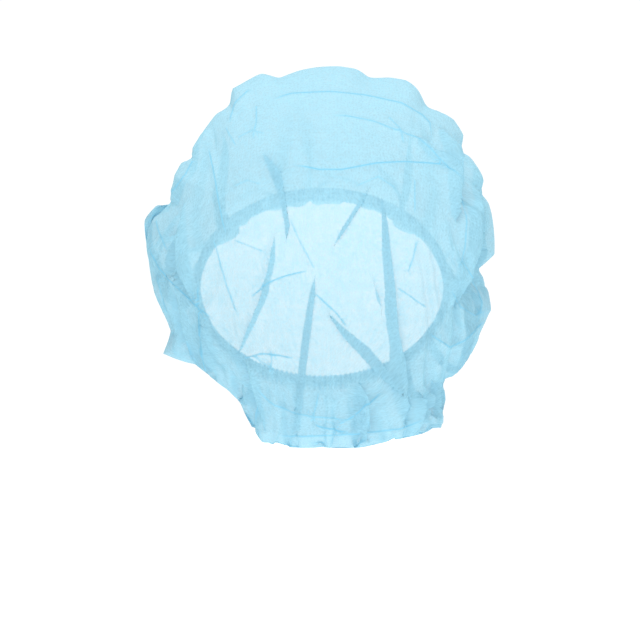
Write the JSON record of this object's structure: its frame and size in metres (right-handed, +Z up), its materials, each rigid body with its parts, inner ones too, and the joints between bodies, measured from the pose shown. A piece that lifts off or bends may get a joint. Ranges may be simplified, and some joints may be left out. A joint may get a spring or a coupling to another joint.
{
  "type": "disposable hairnet",
  "caption": "Loose bouffant cap of thin nonwoven cloth with a gathered elastic hem that closes round a head.",
  "frame": {"origin": "the place of the wearer's crown, the highest point of the head inside the cap", "axes": "+Z up, -Y towards the wearer's face, +X towards the wearer's left"},
  "size_m": [0.2178, 0.2417, 0.2382],
  "materials": {
    "nonwoven_sheet": "thin translucent spunbonded polypropylene, light blue, creased",
    "gathered_hem": "doubled spunbonded polypropylene, light blue, tightly gathered",
    "elastic": "white braided elastic"
  },
  "bodies": {
    "root": {"cap_body": "nonwoven_sheet", "hem_casing": "gathered_hem", "elastic_band": "elastic"}
  },
  "joints": []
}
